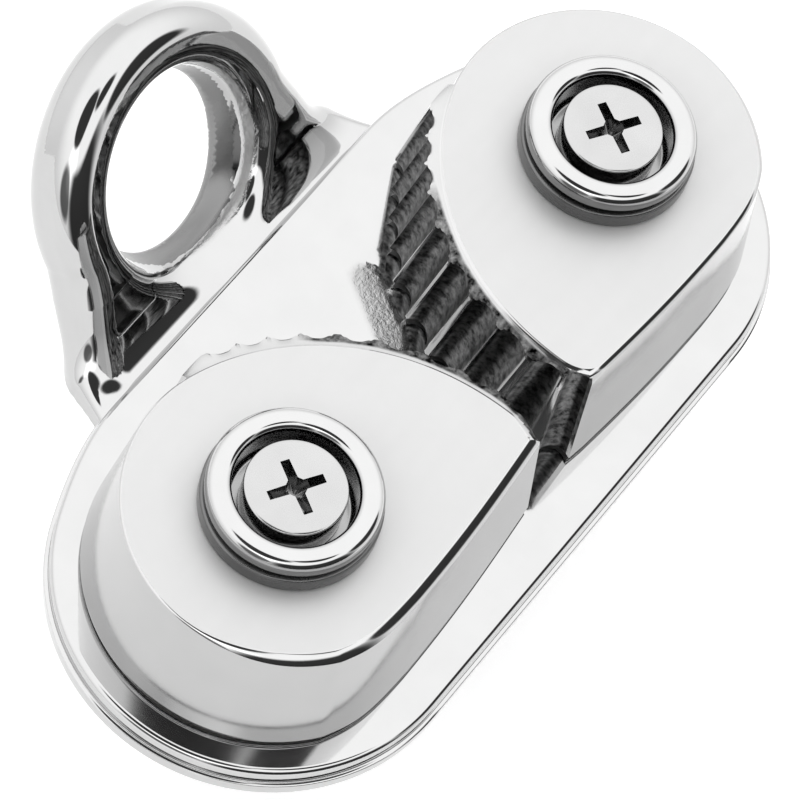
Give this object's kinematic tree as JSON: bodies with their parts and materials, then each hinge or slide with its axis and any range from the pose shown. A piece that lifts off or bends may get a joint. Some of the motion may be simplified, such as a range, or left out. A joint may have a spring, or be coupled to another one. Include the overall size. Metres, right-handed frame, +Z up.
{
  "type": "cam cleat",
  "caption": "Polished stainless steel cam cleat with two sprung toothed cams on a rounded base plate, and a leaning leading ring for the rope.",
  "frame": {"origin": "on the deck face of the base plate, midway between the two cam pivots", "axes": "+X along the line through both pivots, +Y towards the leading ring (load side), +Z up from the deck"},
  "size_m": [0.0724, 0.0504, 0.0338],
  "materials": {
    "polished_steel": "mirror-polished cast stainless steel",
    "turned_steel": "turned stainless steel",
    "spring_wire": "drawn stainless spring wire",
    "bush_plastic": "black acetal",
    "washer_plastic": "white nylon"
  },
  "bodies": {
    "base": {"base_plate": "polished_steel", "lead_ring": "polished_steel", "left_pivot_post": "polished_steel", "right_pivot_post": "polished_steel", "left_collar_washer": "polished_steel", "right_collar_washer": "polished_steel", "left_thrust_washer": "washer_plastic", "right_thrust_washer": "washer_plastic", "left_torsion_spring": "spring_wire", "right_torsion_spring": "spring_wire", "left_stop_pin": "turned_steel", "right_stop_pin": "turned_steel", "left_mounting_screw": "turned_steel", "right_mounting_screw": "turned_steel"},
    "left_cam": {"left_cam": "polished_steel", "left_cam_bush": "bush_plastic"},
    "right_cam": {"right_cam": "polished_steel", "right_cam_bush": "bush_plastic"}
  },
  "joints": [
    {"name": "left_cam_pivot", "type": "hinge", "parent": "base", "child": "left_cam", "pos_m": [-0.02, 0, 0.009], "axis": [0, 0, -1], "range_deg": [0, 65], "stiffness_Nm_per_rad": 0.03, "springref_deg": -34.38},
    {"name": "right_cam_pivot", "type": "hinge", "parent": "base", "child": "right_cam", "pos_m": [0.02, 0, 0.009], "axis": [0, 0, 1], "range_deg": [0, 65], "stiffness_Nm_per_rad": 0.03, "springref_deg": -34.38}
  ]
}
